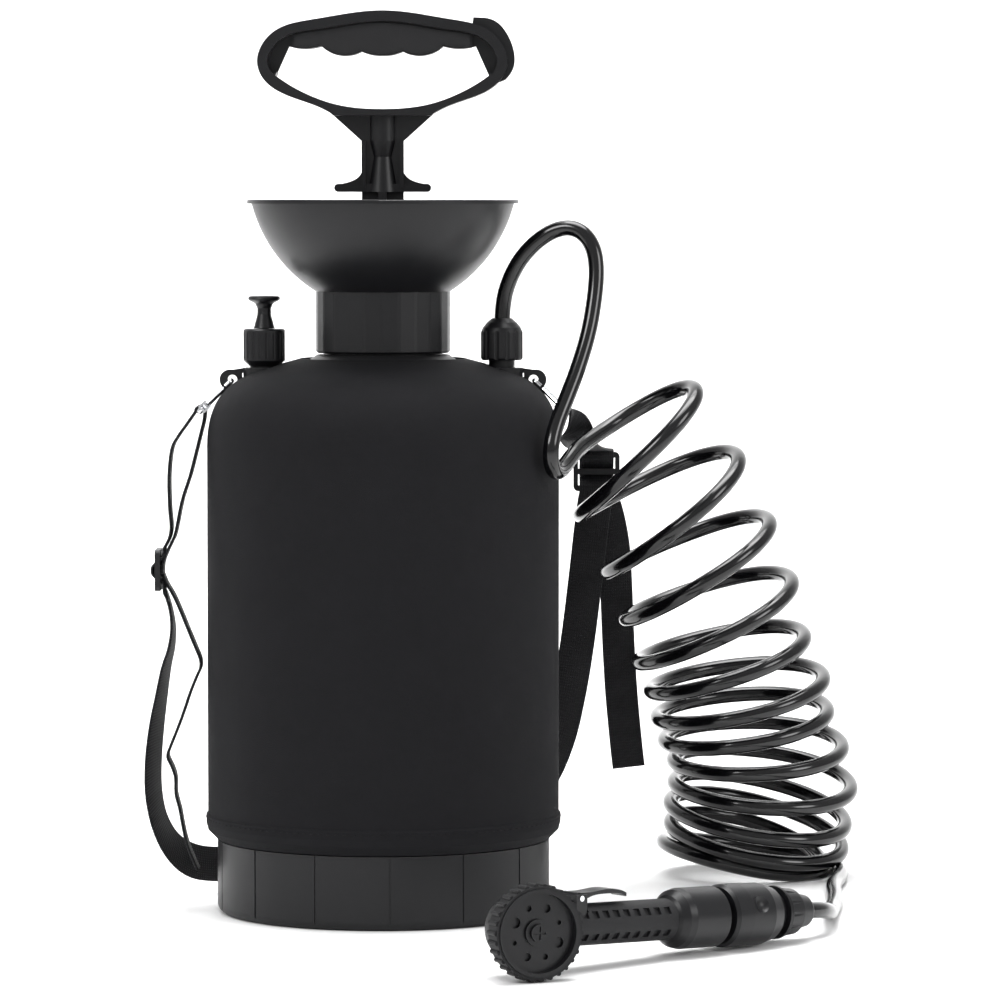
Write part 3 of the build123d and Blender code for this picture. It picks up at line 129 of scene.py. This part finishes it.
main_strap_stations = [
    ((-122.0, 4.5, 177.5), (0, 1, 0)), ((-119.6, 5, 169.0), (0, 1, 0)),
    ((-118.6, 7, 158.0), (0.05, 1, 0)), ((-119.8, 8.5, 147.0), (0.12, 1, 0)),
    ((-122.7, 10, 136.0), (0.2, 1, 0)), ((-125.6, 12, 120.0), (0.28, 1, 0)),
    ((-128.6, 15, 102.0), (0.38, 1, 0)), ((-130.7, 19, 82.0), (0.42, 1, 0)),
    ((-130.8, 24, 63.0), (0.42, 1, 0.05)), ((-127.6, 31, 45.0), (0.4, 1, 0.15)),
    ((-120.6, 42, 30.0), (0.4, 0.9, 0.4)), ((-110.0, 56, 20.5), (0.3, 0.5, 0.8)),
    ((-95.0, 74, 16.5), (0.1, 0.2, 1)), ((-72.0, 93, 15.0), (0, 0.05, 1)),
    ((-38.0, 108, 15.0), (0, 0, 1)), ((0.0, 114, 16.5), (-0.1, 0, 1)), ((36.0, 117, 22.0), (-0.25, 0, 1)),
    ((66.0, 119, 37.0), (-0.55, 0, 0.85)), ((87.0, 120, 58.0), (-0.8, 0, 0.6)),
    ((99.0, 120.5, 83.0), (-1, 0, 0.4)), ((106.0, 121, 112.0), (-1, 0, 0.2)),
    ((111.0, 121, 143.0), (-1, 0, 0.15)), ((115.0, 121, 175.0), (-1, 0, 0.1)),
    ((118.5, 121, 206.0), (-1, 0, 0.1)), ((120.6, 119, 222.5), (-1, 0, 0.05)),
]
right_strap_stations = [
    ((105.6, 1.0, 277.4), (0.25, 1, 0)), ((107.0, 4.0, 272.6), (0.7, 0.8, 0)),
    ((108.6, 10.0, 267.2), (1, 0.4, 0)), ((109.6, 20.0, 263.4), (1, 0, 0)),
    ((111.4, 40.0, 260.2), (1, 0, 0)), ((113.8, 62.0, 257.8), (1, 0, 0)),
    ((116.4, 84.0, 256.0), (1, 0, 0)), ((118.8, 100.0, 254.8), (1, 0, 0)),
    ((120.6, 110.0, 254.2), (1, 0, 0)), ((121.4, 115.2, 253.6), (1, 0, 0)),
]
left_tail_points = [
    (-123.6, 4, 189.2), (-121.6, 4, 184.2), (-117.4, 3.5, 177.0), (-113.4, 3, 168.0), (-110.0, 3, 159.5),
    (-105.6, 2, 149.0), (-102.8, 2, 142.0), (-102.6, 2, 137.0), (-104.6, 2, 132.4), (-108.4, 2, 123.0),
    (-111.6, 2, 113.5), (-115.4, 1, 103.0), (-119.6, 1, 92.6), (-121.2, 1, 87.0), (-118.6, 1, 81.0),
    (-116.8, 1, 75.0), (-116.6, 1, 66.0), (-114.4, 1, 57.0), (-111.8, 1, 43.0), (-108.6, 1, 32.6),
    (-104.4, 1, 23.0),
]
right_tail_stations = [
    ((121.9, 126.3, 240.5), (1, 0, 0)), ((122.4, 126.6, 235.0), (1, 0, 0)),
    ((124.4, 128.4, 228.0), (1, 0, 0.1)), ((127.8, 131.4, 218.0), (1, 0, 0.15)),
    ((130.6, 134.0, 206.0), (1, 0, 0.12)), ((132.6, 135.6, 192.0), (1, 0, 0.06)),
    ((133.8, 136, 170.0), (1, 0, 0.03)), ((135.0, 136, 140.0), (1, 0, 0.04)),
    ((136.8, 136.5, 110.0), (1, 0, 0.06)), ((139.4, 137, 82.0), (1, 0, 0.1)),
    ((141.2, 137, 66.0), (1, 0, 0.12)),
]

# Return spring of the relief valve
valve_x = -66.5
spring_low_z = 313.0
spring_top_z = 323.4
spring_r = 4.45
spring_wire_r = 0.45
spring_wire_sides = 8
spring_turns = 5.5
spring_steps = 110

# Finishes
wear = 0.05
wear_scale = 60.0
grain_scale = 1500.0
knit_scale = 2600.0
cloth_wave_scale = 45.0
cloth_wave_share = 2.0
cloth_shade_scale = 35.0
cloth_light = 1.35
cloth_depth = 0.00018
rib_scale = 180.0
rib_distortion = 0.4
line_scale = 240.0
web_light = 2.2
web_depth = 0.0003

# Studio
floor_half = 7.0
sweep_start = 1.4
sweep_r = 1.0
sweep_steps = 16
wall_top = 5.0
world_strength = 0.55
aim = (0.05, -0.05, 0.22)
wall_aim = (0.0, 3.0, 0.6)
# Name, place, point that it faces, size and power of each lamp
lamps = [
    ("key", (-1.4, -1.5, 1.7), aim, 1.0, 26), ("fill", (1.8, -1.2, 1.1), aim, 1.0, 16),
    ("top", (0.1, 0.3, 2.6), aim, 2.4, 70), ("back", (0.0, 0.4, 2.4), wall_aim, 2.0, 60),
]
camera_place = (0.0655, -3.0, 0.399)
camera_down = 3.2052
camera_lens = 192.857
camera_sensor = 36.0

# Stitches on the neoprene sleeve
hem_r = 99.6
hem_stitch_z = 53.5
stitch_length = 3.0
stitch_r = 0.35
stitch_flatness = 0.8
stitch_sides = 6
stitch_rings = 5
stitch_count = 132


class Value:
    """Output of a shader node. Python's own signs make Math nodes of it."""

    def __init__(self, shader, socket):
        self.shader = shader
        self.socket = socket

    def math(self, operation, other):
        return self.shader.node("ShaderNodeMath", {0: self, 1: other}, operation=operation)

    def __add__(self, other):
        return self.math("ADD", other)

    def __mul__(self, other):
        return self.math("MULTIPLY", other)

    __radd__ = __add__
    __rmul__ = __mul__


class Shader:
    """A material and the few nodes that vary it."""

    def __init__(self, name, colour, roughness, **more):
        self.material = bpy.data.materials.new(name)
        self.material.use_nodes = True
        self.tree = self.material.node_tree
        self.surface = self.tree.nodes["Principled BSDF"]
        self.colour = colour
        self.put("Base Color", (*colour, 1))
        self.put("Roughness", roughness)
        for key, value in more.items():
            self.put(key.replace("_", " "), value)

    def put(self, name, value, node=None):
        socket = (node or self.surface).inputs[name]
        if isinstance(value, Value):
            self.tree.links.new(value.socket, socket)
        else:
            socket.default_value = value

    def node(self, kind, inputs=None, output=0, **settings):
        made = self.tree.nodes.new(kind)
        for key, value in settings.items():
            setattr(made, key, value)
        for name, value in (inputs or {}).items():
            self.put(name, value, made)
        return Value(self, made.outputs[output])

    def noise(self, scale, detail=2.0):
        place = self.node("ShaderNodeTexCoord", output="Object")
        return self.node("ShaderNodeTexNoise", {"Vector": place, "Scale": scale, "Detail": detail})

    def vary_roughness(self, base, amount, scale):
        self.put("Roughness", self.noise(scale) * (2 * amount) + (base - amount))

    def vary_colour(self, factor, light):
        dark = (*self.colour, 1)
        bright = (*(min(1.0, c * light) for c in self.colour), 1)
        ends = {"Factor": factor, 6: dark, 7: bright}
        self.put("Base Color", self.node("ShaderNodeMix", ends, output=2, data_type="RGBA"))

    def bump(self, height, distance):
        self.put("Normal", self.node("ShaderNodeBump", {"Height": height, "Distance": distance}))


def moulded(name, colour, roughness, grain):
    shader = Shader(name, colour, roughness, Specular_IOR_Level=0.3)
    shader.vary_roughness(roughness, wear, wear_scale)
    shader.bump(shader.noise(grain_scale), grain)
    return shader


def make_neoprene():
    shader = Shader("neoprene", (0.005, 0.005, 0.006), 0.8, Specular_IOR_Level=0.16)
    knit = shader.noise(knit_scale, 1.0)
    shader.vary_colour(shader.noise(cloth_shade_scale), cloth_light)
    shader.bump(knit + shader.noise(cloth_wave_scale) * cloth_wave_share, cloth_depth)
    return shader


def make_webbing():
    """Ribs across the webbing and fine lines along it, from its own flat coordinates."""
    shader = Shader("webbing", (0.005, 0.005, 0.006), 0.65, Specular_IOR_Level=0.25)
    place = shader.node("ShaderNodeUVMap", uv_map="flat")
    across = {"Vector": place, "Scale": rib_scale, "Distortion": rib_distortion}
    along = {"Vector": place, "Scale": line_scale, "Distortion": 0.0}
    ribs = shader.node("ShaderNodeTexWave", across, output=1, bands_direction="Y")
    lines = shader.node("ShaderNodeTexWave", along, output=1, bands_direction="X")
    woven = ribs * lines
    shader.vary_colour(woven, web_light)
    shader.bump(woven, web_depth)
    return shader


shaders = {
    "pe_black": moulded("pe_black", (0.006, 0.006, 0.007), 0.45, 0.00005),
    "pp_handle": moulded("pp_handle", (0.006, 0.006, 0.007), 0.36, 0.00005),
    "dial_plastic": moulded("dial_plastic", (0.006, 0.006, 0.007), 0.34, 0.00003),
    "soft_grip": moulded("soft_grip", (0.009, 0.009, 0.01), 0.66, 0.00006),
    "seal_rubber": moulded("seal_rubber", (0.008, 0.008, 0.008), 0.6, 0.00003),
    "clear_bottle": moulded("clear_bottle", (0.01, 0.01, 0.011), 0.4, 0.00004),
    "neoprene": make_neoprene(),
    "webbing": make_webbing(),
    "hose_pvc": Shader("hose_pvc", (0.002, 0.002, 0.0025), 0.15, Specular_IOR_Level=0.5),
    "steel_wire": Shader("steel_wire", (0.72, 0.73, 0.75), 0.16, Metallic=1.0),
    "spring_steel": Shader("spring_steel", (0.58, 0.58, 0.6), 0.28, Metallic=1.0),
}


def finish_in(piece, slot):
    piece.data.materials.clear()
    piece.data.materials.append(shaders[slot].material)


def add_mesh(name, mesh, body, slot):
    data = bpy.data.meshes.new(name)
    mesh.to_mesh(data)
    mesh.free()
    piece = bpy.data.objects.new(name, data)
    bpy.context.scene.collection.objects.link(piece)
    finish_in(piece, slot)
    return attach(piece, body)


# CAD nodes take the finish of their slot, but the dial's screw takes the dial's black finish, so the
# dial's centre shows dark
for row in frame["record"]["subparts"]:
    finish_in(nodes[row["node"]], row["material_slot"])
finish_in(nodes["dial_screw"], "dial_plastic")


def coil_point(turn):
    """Point of the coil's centre line; the lowest turns rest on the floor."""
    a = [row for row in coil_table if row[0] <= turn][-1]
    b = ([row for row in coil_table if row[0] > turn] or [a])[0]
    part = (turn - a[0]) / (b[0] - a[0]) if b is not a else 0
    _, x, y, z, r, rise = [p + (q - p) * part for p, q in zip(a, b)]
    lean = radians(coil_pitch_top + (coil_pitch_foot - coil_pitch_top) * min(turn / coil_pitch_turns, 1))
    lean *= min(1.0, max(0.0, 1 - (turn - coil_level_from)))
    right = Vector((cos(radians(rise)), 0, sin(radians(rise))))
    front = Vector((0, -cos(lean), -sin(lean)))
    point = Vector((x, y, z)) + right * (r * cos(2 * pi * turn)) + front * (r * sin(2 * pi * turn))
    point.z = max(point.z, floor_rest_z)
    return point


def handset_axis():
    heading, dip = radians(handset_heading), radians(handset_dip)
    return Vector((cos(heading) * cos(dip), sin(heading) * cos(dip), -sin(dip)))


def make_hose():
    """The one hose, from the gland through the coil to the nut at the handset."""
    points = [Vector(p) for p in gland_to_coil]
    for i in range(coil_steps + 1):
        points.append(coil_point(coil_first + (coil_last - coil_first) * i / coil_steps))
    points += [Vector(p) for p in coil_to_nut]
    in_nut = (hose_nut_to + straight_at_nut, hose_end)
    points += [Vector(handset_origin) + handset_axis() * x for x in in_nut]
    curve = bpy.data.curves.new("hose", "CURVE")
    curve.dimensions = "3D"
    curve.bevel_depth = hose_r * mm
    curve.bevel_resolution = 5
    curve.resolution_u = 5
    curve.use_fill_caps = True
    spline = curve.splines.new("NURBS")
    spline.points.add(len(points) - 1)
    for point, at in zip(spline.points, points):
        point.co = (*(at * mm), 1)
    spline.order_u = 3
    spline.use_endpoint_u = True
    hose = bpy.data.objects.new("hose", curve)
    bpy.context.scene.collection.objects.link(hose)
    finish_in(hose, "hose_pvc")
    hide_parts("hose_loop", "hose_coil", "hose_tail")
    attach(hose, "tank")
    points[0] * mm


def smooth_line(stations, steps):
    """Stations with more of them put in between, on a curve through the given ones."""
    line = []
    for i in range(len(stations) - 1):
        near = (max(i - 1, 0), i, i + 1, min(i + 2, len(stations) - 1))
        rows = [stations[n] for n in near]
        for k in range(steps):
            t = k / steps
            weights = (
                (-t + 2 * t * t - t ** 3) / 2, (2 - 5 * t * t + 3 * t ** 3) / 2,
                (t + 4 * t * t - 3 * t ** 3) / 2, (t ** 3 - t * t) / 2,
            )
            line.append([sum((row[j] * w for row, w in zip(rows, weights)), Vector()) for j in (0, 1)])
    return line + [[stations[-1][0], stations[-1][1]]]


def make_webbing_piece(name, node, stations, width, steps):
    """Webbing with rounded edges along the stations; its UV map holds its flat coordinates in metres."""
    line = smooth_line([(Vector(at), Vector(across)) for at, across in stations], steps)
    edge = web_t / 2
    section = []
    for side in (1, -1):
        for k in range(edge_points):
            angle = radians(90 - 180 * k / (edge_points - 1))
            section.append((side * (width / 2 - edge + edge * cos(angle)), side * edge * sin(angle)))
    mesh = bmesh.new()
    flat = mesh.loops.layers.uv.new("flat")
    rings = []
    length = 0.0
    for i, (at, across) in enumerate(line):
        along = (line[min(i + 1, len(line) - 1)][0] - line[max(i - 1, 0)][0]).normalized()
        across = (across - along * across.dot(along)).normalized()
        up = along.cross(across)
        length += (at - line[max(i - 1, 0)][0]).length
        ring = [mesh.verts.new((at + across * a + up * b) * mm) for a, b in section]
        rings.append((ring, length))
    count = len(section)
    for (ring, start), (after, end) in zip(rings, rings[1:]):
        for k in range(count):
            n = (k + 1) % count
            face = mesh.faces.new((ring[k], ring[n], after[n], after[k]))
            face.smooth = True
            left, right = section[k][0], section[n][0]
            corners = ((left, start), (right, start), (right, end), (left, end))
            for loop, (u, v) in zip(face.loops, corners):
                loop[flat].uv = (u * mm, v * mm)
    for ring in (rings[0][0], rings[-1][0]):
        mesh.faces.new(ring)
    bmesh.ops.recalc_face_normals(mesh, faces=mesh.faces)
    piece = add_mesh(name, mesh, "tank", "webbing")
    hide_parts(node)


def weave(at, out, side):
    """Webbing from above (or below) a slider, through its slot, to the outside of its middle bar."""
    return [Vector(at) + Vector(out) * depth + Vector((0, 0, side * rise)) for depth, rise in slider_weave]


def wrapped(side, half_turn):
    """Webbing round a hook's bar, from its inner side over to its outer side."""
    down = Vector((side * hook_drop[0], 0, hook_drop[1])).normalized()
    bar = Vector((side * ear_x, 0, ear_z)) + down * hook_len
    r = wire_r + web_gap + web_t / 2
    stations = []
    for i in range(wrap_points):
        angle = radians(half_turn * (2 * i / (wrap_points - 1) - 1) / 2)
        stations.append((bar + Vector((side * r * sin(angle), 0, r * cos(angle))), (0, 1, 0)))
    return stations


def facing(points, across):
    return [(at, across) for at in points]


def make_straps():
    to_front = (0, 1, 0)
    left = facing(left_inner_strand, to_front) + wrapped(-1, left_wrap)
    left += facing(left_outer_strand + weave(left_slider_at, (-1, 0, 0), 1), to_front)
    main = facing(reversed(weave(left_slider_at, (-1, 0, 0), -1)), to_front) + main_strap_stations
    main += facing(weave(right_slider_at, (0, 1, 0), -1), (-1, 0, 0))
    right = wrapped(1, right_wrap) + right_strap_stations
    right += facing(weave(right_slider_at, (0, 1, 0), 1), (1, 0, 0))
    left_tail = facing(left_tail_points, to_front)
    right_tail = right_tail_stations
    make_webbing_piece("left_strap", "strap_left", left, web_w, 3)
    make_webbing_piece("main_strap", "strap_main", main, web_w, 4)
    make_webbing_piece("right_strap", "strap_right", right, web_w, 3)
    make_webbing_piece("left_tail", "strap_tail_left", left_tail, left_tail_w, 3)
    make_webbing_piece("right_tail", "strap_tail_right", right_tail, right_tail_w, 4)


def make_spring():
    """Coil spring on the valve's stem, from its foot up to its top under the cap."""
    rise = spring_top_z - spring_low_z - 2 * spring_wire_r
    first = Vector((valve_x + spring_r, 0, spring_low_z + spring_wire_r))
    mesh = bmesh.new()
    wire = bmesh.ops.create_circle(mesh, segments=spring_wire_sides, radius=spring_wire_r * mm)["verts"]
    bmesh.ops.rotate(mesh, verts=wire, cent=(0, 0, 0), matrix=Matrix.Rotation(radians(90), 3, "X"))
    bmesh.ops.translate(mesh, verts=wire, vec=first * mm)
    bmesh.ops.spin(mesh, geom=mesh.verts[:] + mesh.edges[:], cent=(valve_x * mm, 0, 0), axis=(0, 0, 1),
                   dvec=(0, 0, rise * mm / spring_steps), angle=2 * pi * spring_turns, steps=spring_steps)
    for face in mesh.faces:
        face.smooth = True
    bmesh.ops.holes_fill(mesh, edges=[edge for edge in mesh.edges if edge.is_boundary])
    bmesh.ops.recalc_face_normals(mesh, faces=mesh.faces)
    spring = add_mesh("return_spring", mesh, "tank", "spring_steel")
    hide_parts("valve_spring")
    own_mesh(spring)


def make_stitches():
    """Line of stitches round the sleeve's hem."""
    stretch = (stitch_flatness, stitch_length / (2 * stitch_r), 1.0)
    mesh = bmesh.new()
    for i in range(stitch_count):
        stitch = bmesh.ops.create_uvsphere(mesh, u_segments=stitch_sides, v_segments=stitch_rings,
                                           radius=stitch_r * mm)["verts"]
        bmesh.ops.scale(mesh, vec=stretch, verts=stitch)
        bmesh.ops.translate(mesh, vec=(hem_r * mm, 0, hem_stitch_z * mm), verts=stitch)
        turn = Matrix.Rotation(2 * pi * i / stitch_count, 3, "Z")
        bmesh.ops.rotate(mesh, cent=(0, 0, 0), matrix=turn, verts=stitch)
    for face in mesh.faces:
        face.smooth = True
    add_mesh("hem_stitches", mesh, "tank", "neoprene")


def add_lamp(name, place, faces, size, power):
    data = bpy.data.lights.new(name, "AREA")
    data.shape = "DISK"
    data.size = size
    data.energy = power
    light = bpy.data.objects.new(name, data)
    light.location = place
    light.rotation_euler = (Vector(faces) - Vector(place)).to_track_quat("-Z", "Y").to_euler()
    bpy.context.scene.collection.objects.link(light)


def make_studio():
    """Pale floor that curves up into a backdrop, with soft light."""
    profile = [(-floor_half, 0.0), (sweep_start, 0.0)]
    for k in range(1, sweep_steps + 1):
        angle = radians(90 * k / sweep_steps)
        profile.append((sweep_start + sweep_r * sin(angle), sweep_r * (1 - cos(angle))))
    profile.append((sweep_start + sweep_r, wall_top))
    mesh = bmesh.new()
    rows = [[mesh.verts.new((x, y, z)) for x in (-floor_half, floor_half)] for y, z in profile]
    for a, b in zip(rows, rows[1:]):
        mesh.faces.new((a[0], a[1], b[1], b[0])).smooth = True
    data = bpy.data.meshes.new("floor")
    mesh.to_mesh(data)
    mesh.free()
    floor = bpy.data.objects.new("floor", data)
    bpy.context.scene.collection.objects.link(floor)
    floor.data.materials.append(Shader("floor", (0.9, 0.9, 0.9), 0.8, Specular_IOR_Level=0.1).material)
    world = bpy.data.worlds.new("studio")
    world.use_nodes = True
    background = world.node_tree.nodes["Background"]
    background.inputs["Color"].default_value = (1, 1, 1, 1)
    background.inputs["Strength"].default_value = world_strength
    bpy.context.scene.world = world
    for lamp in lamps:
        add_lamp(*lamp)


def make_camera():
    data = bpy.data.cameras.new("camera")
    data.sensor_width = camera_sensor
    data.lens = camera_lens
    camera = bpy.data.objects.new("camera", data)
    camera.location = camera_place
    camera.rotation_euler = (radians(90 - camera_down), 0, 0)
    bpy.context.scene.collection.objects.link(camera)
    bpy.context.scene.camera = camera


make_hose()
make_straps()
make_spring()
make_stitches()
make_studio()
make_camera()
bpy.context.scene.view_settings.view_transform = "Standard"
